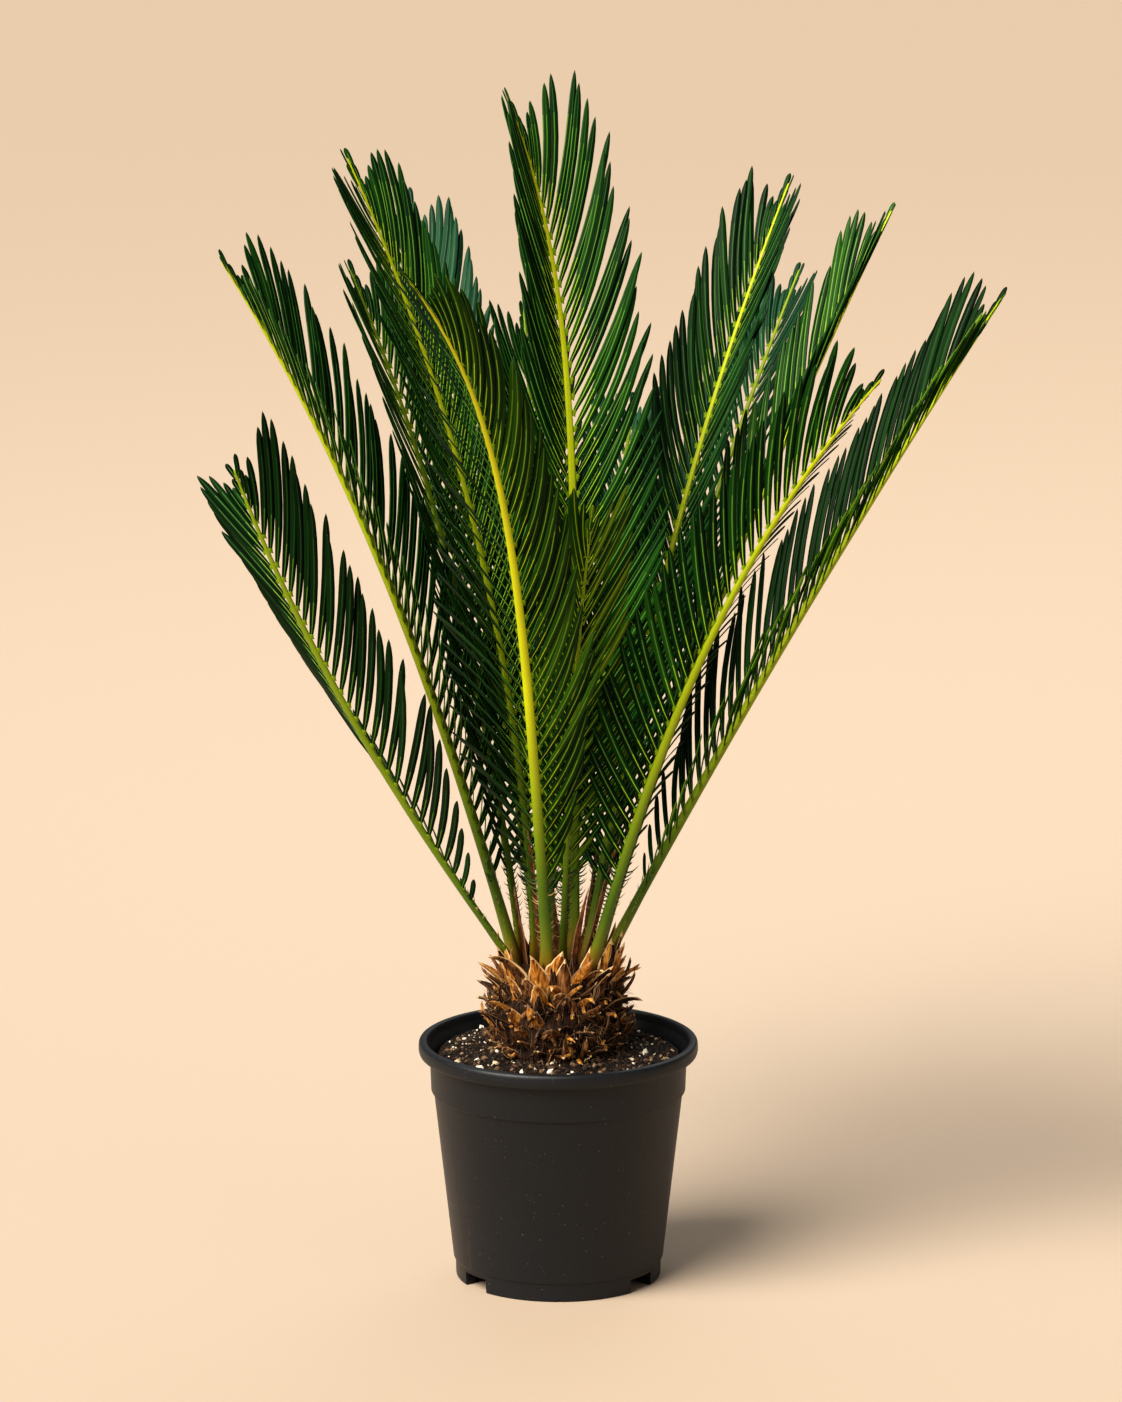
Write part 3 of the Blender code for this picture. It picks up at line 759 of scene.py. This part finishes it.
for k in range(BRACT_COUNT):
    root, out = on_caudex(0.74 + draw.uniform(0, 0.10), k * 360 / BRACT_COUNT + draw.normal(0, 5), 0.0026)
    along, back = leaned(out, 12 + draw.normal(0, 5))
    along = unit(along + np.cross(along, back) * draw.normal(0, 0.13))
    add_leaf_base(
        old_bases, root, along, back, draw.uniform(0.0165, 0.0245), draw.uniform(0.0090, 0.0128),
        draw.normal(0.1, 0.25), ORANGE if draw.random() < 0.65 else BROWN, EDGE, 1.15, 0.5,
    )
for _ in range(STRAP_COUNT):
    share = draw.uniform(0.0, 0.95)
    root, out = on_caudex(share, draw.uniform(0, 360), 0.0020)
    along, back = leaned(out, draw.uniform(25, 75) - 25 * share)
    add_leaf_base(
        old_bases, root, unit(along + draw.normal(0, 0.2, 3)), back, draw.uniform(0.006, 0.0145),
        draw.uniform(0.0012, 0.0024), draw.normal(-1.0, 1.1), pick((0.5, 0.4, 0.1)), DULL_EDGE, 2.4, 0.3,
    )
for _ in range(SCRAP_COUNT):
    share = draw.uniform(-0.02, 0.75)
    root, out = on_caudex(share, draw.uniform(0, 360), 0.0012)
    along, back = leaned(out, draw.uniform(-10, 110))
    add_leaf_base(
        old_bases, root, unit(along + draw.normal(0, 0.5, 3)), unit(back + draw.normal(0, 0.5, 3)),
        draw.uniform(0.0025, 0.0060), draw.uniform(0.0008, 0.0024), draw.normal(0, 1.6),
        pick((0.45, 0.35, 0.2)), EDGE if draw.random() < 0.45 else DULL_EDGE, 1.6, 0.5,
    )
for azimuth, radius, length in DEAD_SHEATHS:
    out = compass(azimuth)
    root = out * radius
    root[2] = CROWN_LEVEL - SHEATH_ROOTED
    along, back = leaned(out, 9 + draw.normal(0, 3))
    add_leaf_base(old_bases, root, along, back, length, 0.0038, 0.1, SHEATH, DULL_EDGE, 1.5, 0.7)
threads = Skins()
for _ in range(THREAD_COUNT):
    share = draw.uniform(-0.05, 1.08)
    root, out = on_caudex(share, draw.uniform(0, 360), 0.0015)
    rising = out * draw.uniform(0.2, 1.0) + np.array([0, 0, draw.uniform(-0.4, 1.0)])
    heading = unit(rising + draw.normal(0, 0.35, 3))
    length = draw.uniform(0.003, 0.0085)
    add_thread(threads, root, heading, length, THREAD_THICKNESS, 0.38, pick((0.4, 0.35, 0.25)))
caudex_bases = old_bases.piece("caudex_leaf_bases", caudex_finishes, 40)
caudex_threads = threads.piece("caudex_threads", [
    plain_finish("thread_dark", (0.025, 0.012, 0.006), 0.85),
    plain_finish("thread_brown", (0.12, 0.055, 0.02), 0.85),
    plain_finish("thread_straw", (0.36, 0.22, 0.1), 0.8),
])
for caudex_piece in (caudex_core, caudex_bases, caudex_threads):
    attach(caudex_piece, "root")
    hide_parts("caudex")


# The ribs: each frond has one stiff rib, swollen and brown where it leaves the crown, olive green along the
# bare stalk, and bright yellow-green between the leaflets. It is rounded below, and grooved above.
STATIONS = 40
RIB_NECK = 0.10
RIB_FOOT_WIDTH = 0.0058
RIB_NECK_WIDTH = 0.0046
RIB_TIP_WIDTH = 0.0012
RIB_ROWS = 72
RIB_SIDES = 14
RIB_ROOTED = 0.009
RIB_LIFT = 0.0003
RIB_SWELL = 0.45
SWELL_AT = 0.001
SWELL_LENGTH = 0.006
RIB_RISE = 0.66
RIB_DROP = 0.88
RIB_GROOVE = 0.20
RIB_POINT = 0.0006
PALEST_FOOT = 0.70
BARE_LENGTH = 0.034
PLAIN_ROW = (2, 10, 1, 0)
# Each frond: foot radius, foot azimuth, heading, sway, lean, tip lean, bend, length, longest leaflet, keel,
# roll and tip roll, then the turn, bow, reach and twist of its left row and of its right row, and how yellow
# and how stout its rib is. Lengths are in metres, and turns in degrees.
FRONDS = {
    "top": (0.0087, 48, 88, 76, 9, 24, 3.0, 0.3213, 0.068, 28, 0, 0,
            (-3, 10, 0.88, -20), (2, 10, 1, 0), 0.74, 0.80),
    "front": (0.0153, 256, 258, -46, 16, 42, 3.0, 0.298, 0.052, 28, 0, 0,
              (-4, 16, 1, 0), (14, -12, 1, 26), 0.88, 0.85),
    "front_right": (0.0161, 318, 348, 0, 16, 41, 1.6, 0.251, 0.050, 28, -48, -48,
                    (-3, -20, 0.36, 10), (5, 8, 1, 0), 0.70, 0.85),
    "left_low": (0.0168, 204, 204, 0, 35, 20, 1.6, 0.225, 0.048, 28, -8, 62,
                 (4, 8, 1.2, 0), (9, 2, 0.88, -35), 0.46, 0.80),
    "right_low": (0.0168, 0, 2, 0, 27, 33, 0.8, 0.288, 0.053, 36, 4, 10,
                  (2, 10, 1.05, 0), (6, 25, 0.85, -42), 0.68, 1.00),
    "left": (0.0153, 178, 176, 0, 16, 33, 1.6, 0.284, 0.054, 36, -4, -4,
             (6, 14, 0.8, -38), (6, 10, 1.05, 10), 0.70, 1.10),
    "right": (0.0153, 26, 22, 0, 18, 29, 1.0, 0.299, 0.050, 34, 0, -6,
              (-2, 8, 1, 0), (-2, 14, 1, -25), 0.72, 1.00),
    "left_tall": (0.0087, 170, 157, 0, 3, 27, 1.1, 0.308, 0.054, 28, -30, -30,
                  (2, 8, 1, 10), (-2, 10, 1, 0), 0.70, 0.60),
    "right_tall": (0.0097, 350, 50, 0, 16, 34, 1.4, 0.305, 0.056, 28, 2, 2,
                   (0, 10, 1, 0), (-2, 6, 0.9, 0), 0.72, 0.60),
    "inner": (0.0070, 282, 282, 0, 8, 30, 1.6, 0.190, 0.040, 28, 0, 0,
              (8, 6, 1, 0), (-4, 10, 1, 0), 0.50, 0.50),
    "back_left": (0.0153, 118, 112, 0, 21, 34, 1.2, 0.300, 0.050, 28, 0, 0,
                  PLAIN_ROW, PLAIN_ROW, 0.42, 0.70),
    "back_left_low": (0.0158, 148, 138, 0, 11, 32, 1.5, 0.266, 0.050, 28, 0, 0,
                      PLAIN_ROW, PLAIN_ROW, 0.36, 0.70),
    "back_right": (0.0161, 56, 58, 0, 28, 41, 1.2, 0.286, 0.048, 28, 0, 0,
                   PLAIN_ROW, PLAIN_ROW, 0.52, 0.70),
    "back": (0.0158, 84, 80, 0, 34, 50, 1.0, 0.245, 0.046, 28, 0, 0,
             PLAIN_ROW, PLAIN_ROW, 0.42, 0.80),
    "back_inner": (0.0077, 112, 96, 0, 14, 36, 1.4, 0.250, 0.046, 28, 0, 0,
                   PLAIN_ROW, PLAIN_ROW, 0.42, 0.70),
}
ROLL_BEND = 1.3


class Rib:
    """One frond's rib, as stations from foot to tip: the place, growth, left and upper way at each."""

    def __init__(self, foot_radius, foot_azimuth, heading, sway, lean, tip_lean, bend, length, leaflet, keel,
                 roll, tip_roll, left_row, right_row, tint, stout):
        self.length = length
        self.leaflet = leaflet
        self.keel = keel
        self.row_habit = {1: left_row, -1: right_row}
        self.tint = tint
        self.stout = stout
        place = compass(foot_azimuth) * foot_radius
        place[2] = CROWN_LEVEL + RIB_LIFT
        rows = []
        for k in range(STATIONS + 1):
            share = k / STATIONS
            bent = share ** bend
            out = compass(heading + sway * bent)
            tilt = math.radians(mixed(lean, tip_lean, bent))
            along = out * math.sin(tilt) + np.array([0, 0, math.cos(tilt)])
            level = np.array([-out[1], out[0], 0.0])
            upper = np.cross(along, level)
            turn = math.radians(mixed(roll, tip_roll, share ** ROLL_BEND))
            left = level * math.cos(turn) + upper * math.sin(turn)
            rows.append((place, along, left, np.cross(along, left)))
            place = place + along * (length / STATIONS)
        self.rows = np.array(rows)

    def at(self, share):
        """Place, growth, left and upper at this share of the rib's length."""
        position = min(share, 1.0) * STATIONS
        low = min(int(position), STATIONS - 1)
        part = position - low
        place, along, left, upper = self.rows[low] * (1 - part) + self.rows[low + 1] * part
        return place, unit(along), unit(left), unit(upper)

    def width(self, share):
        """The width at this share of the length: quickly narrower to the neck, then slowly to the tip."""
        if share < RIB_NECK:
            return self.stout * mixed(RIB_FOOT_WIDTH, RIB_NECK_WIDTH, share / RIB_NECK)
        past = (share - RIB_NECK) / (1 - RIB_NECK)
        return self.stout * mixed(RIB_NECK_WIDTH, RIB_TIP_WIDTH, past ** 1.7)


def rib_ring(rib, share):
    """One ring of corners round the rib: rounded below, flatter above, with a groove along the top."""
    place, along, left, upper = rib.at(max(share, 0.0))
    swell = 1 + RIB_SWELL * math.exp(-((share * rib.length - SWELL_AT) / SWELL_LENGTH) ** 2)
    reach = rib.width(max(share, 0.0)) / 2
    if share < 0:
        place = place + along * (share * rib.length)
    ring = []
    for k in range(RIB_SIDES):
        turn = math.tau * k / RIB_SIDES
        above = math.sin(turn) > 0
        across = math.cos(turn) * reach * swell
        depth = math.sin(turn) * reach * (RIB_RISE if above else RIB_DROP)
        groove = RIB_GROOVE * reach * math.exp(-(math.cos(turn) / 0.3) ** 2) if above else 0.0
        ring.append(place + left * across + upper * (depth - groove))
    return ring


def make_rib_finish():
    """Green stalk to yellow rib. The map's first number is how yellow, its second the way along the rib."""
    finish = Finish("rib_green", 0.42, 0.25)
    where = finish.node("UVMap", {"uv_map": "growth"})
    tint = finish.node("SeparateXYZ", None, {"Vector": where})
    along = Wire(finish.tree, tint.socket.node.outputs[1])
    mottle = finish.noise(70.0, 3.0)
    stalk = finish.ramp(along, (
        (0.0, (0.12, 0.045, 0.008)), (0.018, (0.26, 0.16, 0.012)), (0.040, (0.16, 0.19, 0.01)),
        (0.085, (0.08, 0.145, 0.006)), (0.18, (0.09, 0.17, 0.006)), (0.45, (0.18, 0.28, 0.006)),
    ))
    yellow = finish.ramp(tint, (
        (0.0, (0.05, 0.11, 0.006)), (0.3, (0.14, 0.22, 0.006)), (0.6, (0.36, 0.43, 0.005)),
        (0.72, (0.6, 0.62, 0.004)), (0.86, (0.56, 0.5, 0.005)), (1.0, (0.48, 0.3, 0.008)),
    ))
    grown = finish.node("MapRange", None, {"Value": along, 1: 0.12, 2: 0.40})
    tone = finish.blend(grown, stalk, yellow)
    shaded = finish.blend(0.30 * mottle, tone, (0.045, 0.100, 0.008, 1.0))
    finish.use(base_color=shaded, roughness=0.34 + 0.18 * mottle)
    return finish.material


ribs = {name: Rib(*row) for name, row in FRONDS.items()}
rib_finish = make_rib_finish()
for name, rib in ribs.items():
    skin = Skins()
    shares = [-RIB_ROOTED / rib.length, *(k / RIB_ROWS for k in range(RIB_ROWS + 1))]
    rings = [rib_ring(rib, share) for share in shares]
    tip_place, tip_along, _, _ = rib.at(1.0)
    skin.add_tube(rings, tip_place + tip_along * RIB_POINT, lambda row, strip: 0)
    rib_piece = skin.piece(f"{name}_rib", [rib_finish])
    growth = rib_piece.data.uv_layers.new(name="growth")
    spread = [max(share, 0.0) for share in shares for _ in range(RIB_SIDES)] + [1.0]
    for loop in rib_piece.data.loops:
        way = spread[loop.vertex_index]
        growth.data[loop.index].uv = (rib.tint * mixed(PALEST_FOOT, 1.0, way), way)
    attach(rib_piece, "root")
    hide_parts(f"frond_{name}")


# The spines: both edges of the bare stalks carry small curved spines, hair-thin and straw-coloured near the
# crown, and stouter and green up to the first leaflets.
SPINE_PITCH = 0.0017
LOWEST_SPINE = 0.006
SPINE_LENGTHS = (0.0016, 0.0052)
SPINE_REACHES = (0.00016, 0.00040)
spines = Skins()
for name, rib in ribs.items():
    for k in range(int(BARE_LENGTH / SPINE_PITCH)):
        for hand in (1, -1):
            distance = LOWEST_SPINE + SPINE_PITCH * (k + draw.uniform(0, 0.8))
            grown = distance / BARE_LENGTH
            station = distance / rib.length
            place, along, left, upper = rib.at(station)
            out = unit(left * hand + upper * draw.normal(0.25, 0.25))
            root = place + left * (hand * rib.width(station) * 0.44)
            heading = unit(out + along * draw.uniform(-0.1, 0.7))
            length = mixed(*SPINE_LENGTHS, grown ** 2) * draw.uniform(0.7, 1.25)
            tone = pick((0.70 - 0.6 * min(grown, 1.0), 0.15, 0.15 + 0.6 * min(grown, 1.0)))
            rings = []
            for row in range(STRAND_ROWS):
                across = unit(np.cross(heading, upper))
                reach = mixed(*SPINE_REACHES, grown ** 2) * (1 - 0.2 * row)
                raised = np.cross(heading, across)
                rings.append([root + across * reach, root + raised * reach, root - across * reach])
                root = root + heading * (length / STRAND_ROWS)
                heading = unit(heading + along * 0.42 + draw.normal(0, 0.08, 3))
            spines.add_tube(rings, root, lambda row, strip: tone, cap=False)
stalk_spines = spines.piece("stalk_spines", [
    plain_finish("spine_straw", (0.42, 0.3, 0.13), 0.6),
    plain_finish("spine_olive", (0.11, 0.13, 0.02), 0.5),
    plain_finish("spine_green", (0.018, 0.062, 0.008), 0.45),
])
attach(stalk_spines, "root")
for name in FRONDS:
    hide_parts(f"frond_{name}")


# The leaflets: stiff narrow blades in two rows along each rib, glossy dark green. Their lighter lines are
# partly a paler midrib and partly painted highlight; one edge carries a painted highlight and the other painted
# shade. Each runs down onto the rib in a yellow-green tooth, and ends in a blunt point.
LEAFLET_PITCH = 0.0061
LEAFLET_WIDTH = 0.0030
LAST_LEAFLET = 0.985
SWEEP_AT_FOOT = 44.0
SWEEP_AT_TIP = 16.0
SHORTEST_AT_FOOT = 0.25
RISE = 4.5
FALL_FROM = 0.82
FALL_TO = 0.96
SHORTEST_AT_TIP = 0.18
CLOSING = 8.0
CLUMPING = 0.6
CLUMP_DRIFT = 0.5
LEAFLET_ROWS = (0.0, 0.012, 0.035, 0.12, 0.27, 0.42, 0.58, 0.74, 0.86, 0.93, 0.975)
LEAFLET_WIDTHS = (0.95, 0.66, 0.50, 0.74, 0.94, 1.0, 1.0, 1.0, 0.88, 0.64, 0.34)
LEAFLET_SECTION = (
    (-1.0, -0.22), (-0.80, -0.04), (-0.12, 0.05), (0.12, 0.05),
    (0.86, -0.06), (1.0, -0.22), (0.14, -0.20), (-0.14, -0.20),
)
BLADE, MIDRIB_AND_HIGHLIGHT, PAINTED_SHADE_MARGIN = range(3)
# Lines: a paler midrib with painted highlight, and painted highlight on one edge; the far edge is painted
# shade.
LEAFLET_STRIPS = (MIDRIB_AND_HIGHLIGHT, BLADE, MIDRIB_AND_HIGHLIGHT, BLADE, PAINTED_SHADE_MARGIN, BLADE, MIDRIB_AND_HIGHLIGHT, BLADE)
FOOT_ROWS = 2
LINE_FADES = (4, 7)
TWIST_ROWS = 4
# The tones of the blades from dark to light, for each kind of leaflet. The dark kind is painted shade, and
# the sage kind painted light and sheen.
GREENS = {
    "dark": ((0.0006, 0.008, 0.0006), (0.001, 0.0125, 0.0009), (0.0018, 0.02, 0.0014), (0.004, 0.034, 0.002)),
    "sage": ((0.0012, 0.013, 0.002), (0.0022, 0.021, 0.0032), (0.005, 0.036, 0.0058), (0.011, 0.06, 0.01)),
    "light": ((0.004, 0.028, 0.0026), (0.0085, 0.046, 0.0042), (0.018, 0.075, 0.007), (0.036, 0.115, 0.012)),
    "deep": ((0.0008, 0.01, 0.0008), (0.0015, 0.0165, 0.0012), (0.0032, 0.029, 0.0019), (0.007, 0.048, 0.003)),
    "fresh": ((0.0011, 0.0135, 0.0009), (0.0022, 0.023, 0.0014), (0.0055, 0.042, 0.0024), (0.012, 0.07, 0.004)),
    "olive": ((0.0026, 0.018, 0.0007), (0.0058, 0.031, 0.001), (0.013, 0.052, 0.0016), (0.026, 0.082, 0.003)),
    "blue": ((0.0034, 0.027, 0.011), (0.0066, 0.04, 0.0165), (0.0125, 0.06, 0.025), (0.022, 0.086, 0.036)),
    "young": ((0.006, 0.036, 0.0014), (0.015, 0.064, 0.0022), (0.038, 0.11, 0.0036), (0.09, 0.175, 0.006)),
}
# The tones of a leaflet's lines, partly a paler midrib and partly painted highlight: bright near the rib,
# softer along the blade, dull at its end
LINE_TONES = {
    "dark": ((0.09, 0.2, 0.02), (0.014, 0.062, 0.01), (0.006, 0.036, 0.006)),
    "sage": ((0.2, 0.34, 0.05), (0.07, 0.18, 0.04), (0.026, 0.09, 0.026)),
    "light": ((0.3, 0.44, 0.05), (0.15, 0.3, 0.05), (0.08, 0.19, 0.036)),
    "deep": ((0.17, 0.33, 0.026), (0.038, 0.13, 0.02), (0.014, 0.062, 0.012)),
    "fresh": ((0.3, 0.48, 0.026), (0.095, 0.23, 0.03), (0.03, 0.1, 0.02)),
    "olive": ((0.34, 0.44, 0.016), (0.15, 0.25, 0.016), (0.075, 0.15, 0.01)),
    "blue": ((0.11, 0.26, 0.08), (0.04, 0.13, 0.06), (0.024, 0.086, 0.042)),
    "young": ((0.4, 0.48, 0.016), (0.26, 0.36, 0.018), (0.3, 0.36, 0.02)),
}
FOOT_TONE = (0.17, 0.26, 0.006)
BLADE_TONES = len(GREENS["dark"])
# The greens of the left row and of the right row of each frond. Rows with the dark greens have painted shade,
# rows with the sage greens painted light, and right_low's right row takes the young greens as painted light.
FROND_GREENS = {
    "top": ("fresh", "fresh"), "front": ("olive", "dark"), "front_right": ("dark", "fresh"),
    "left_low": ("dark", "sage"), "right_low": ("dark", "young"), "left": ("light", "deep"),
    "right": ("light", "light"), "left_tall": ("deep", "fresh"), "right_tall": ("deep", "sage"),
    "inner": ("young", "young"), "back_left": ("blue", "blue"), "back_left_low": ("deep", "deep"),
    "back_right": ("blue", "blue"), "back": ("blue", "blue"), "back_inner": ("deep", "deep"),
}
LEAFLET_SHEEN = 0.10


def ending(share):
    """How far a leaflet stands into the frond's end, where the rows shorten to a narrow tuft."""
    into = min(1.0, max(0.0, (share - FALL_FROM) / (FALL_TO - FALL_FROM)))
    return into * into * (3.0 - 2.0 * into)


def leaflet_length(rib, share):
    """The length of a leaflet at this share of its row: short at the foot, and shorter again in the tuft."""
    rise = min(1.0, SHORTEST_AT_FOOT + RISE * share)
    return rib.leaflet * rise * (1.0 - (1.0 - SHORTEST_AT_TIP) * ending(share))


def clumped(count):
    """How far each leaflet in a row turns towards its neighbours, as they lie in clumps of up to four."""
    turns = []
    while len(turns) < count:
        size = int(draw.integers(1, 5))
        drift = draw.normal(0, CLUMP_DRIFT)
        turns += [drift + CLUMPING * (k - (size - 1) / 2) for k in range(size)]
    return turns[:count]


def add_leaflet(skins, rib, share, hand, turned_by, tone_at):
    """A leaflet: from the rib's side it runs out, forwards and up, bows, and may turn about its midrib."""
    station = mixed(BARE_LENGTH / rib.length, LAST_LEAFLET, share)
    place, along, left, upper = rib.at(station)
    row_turn, row_bow, row_reach, row_twist = rib.row_habit[hand]
    habit = mixed(SWEEP_AT_FOOT, SWEEP_AT_TIP, share) + row_turn - CLOSING * ending(share)
    sweep = math.radians(habit + turned_by + draw.normal(0, 0.7))
    bow = math.radians(row_bow + draw.normal(0, 2.5))
    twist = math.radians(row_twist + draw.normal(0, 7)) * hand
    keel = math.radians(rib.keel + draw.normal(0, 2.2))
    out = left * (hand * math.cos(keel)) + upper * math.sin(keel)
    reach = rib.width(station) * 0.40
    length = leaflet_length(rib, share) * row_reach * draw.uniform(0.93, 1.0) - reach
    face = unit(np.cross(along, out)) * hand
    half = LEAFLET_WIDTH / 2 * min(1.0, 0.55 + length / 0.09)
    rings = []
    centre = place + left * (hand * reach)
    before = 0.0
    for k, (row, wide) in enumerate(zip(LEAFLET_ROWS, LEAFLET_WIDTHS)):
        turn = sweep + bow * (0.45 - 1.45 * min(1.0, row / 0.95))
        heading = along * math.cos(turn) + out * math.sin(turn)
        centre = centre + heading * (length * (row - before))
        before = row
        level = unit(np.cross(heading, face))
        twisted = twist * min(1.0, k / TWIST_ROWS)
        across = level * math.cos(twisted) - face * math.sin(twisted)
        raised = face * math.cos(twisted) + level * math.sin(twisted)
        rings.append([centre + across * (half * wide * u) + raised * (half * h) for u, h in LEAFLET_SECTION])
    tip = centre + heading * (length * (1 - before))
    skins.add_tube(rings, tip, tone_at, cap=False)


def leaflet_tones(blade, first):
    """The finish of each face of a leaflet, by row and strip: blade tones, then its lines, then the foot."""

    def tone_at(row, strip):
        if row < FOOT_ROWS:
            return first + BLADE_TONES + len(LINE_FADES) + 1
        look = LEAFLET_STRIPS[strip]
        # Lines: a paler midrib with painted highlight, and a painted highlight along one edge
        if look == MIDRIB_AND_HIGHLIGHT:
            return first + BLADE_TONES + sum(row >= fade for fade in LINE_FADES)
        # The far edge is painted shade, one tone darker than the blade.
        return first + max(blade - (look == PAINTED_SHADE_MARGIN), 0)

    return tone_at


leaf_finishes = {}
for kind, greens in GREENS.items():
    tones = [*greens, *LINE_TONES[kind], FOOT_TONE]
    leaf_finishes[kind] = [
        plain_finish(f"{kind}_leaf_{k}", tone, 0.45, LEAFLET_SHEEN) for k, tone in enumerate(tones)
    ]
for name, rib in ribs.items():
    left_kind, right_kind = FROND_GREENS[name]
    finishes = leaf_finishes[left_kind] + leaf_finishes[right_kind]
    skins = Skins()
    pairs = round((rib.length - BARE_LENGTH) / LEAFLET_PITCH)
    for hand, first in ((1, 0), (-1, len(leaf_finishes[left_kind]))):
        for k, turned_by in enumerate(clumped(pairs + 1)):
            blade = int(np.clip(round(draw.normal(1.2, 0.9)), 0, BLADE_TONES - 1))
            add_leaflet(skins, rib, k / pairs, hand, turned_by, leaflet_tones(blade, first))
    leaflets = skins.piece(f"{name}_leaflets", finishes)
    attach(leaflets, "root")
    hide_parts(f"frond_{name}")
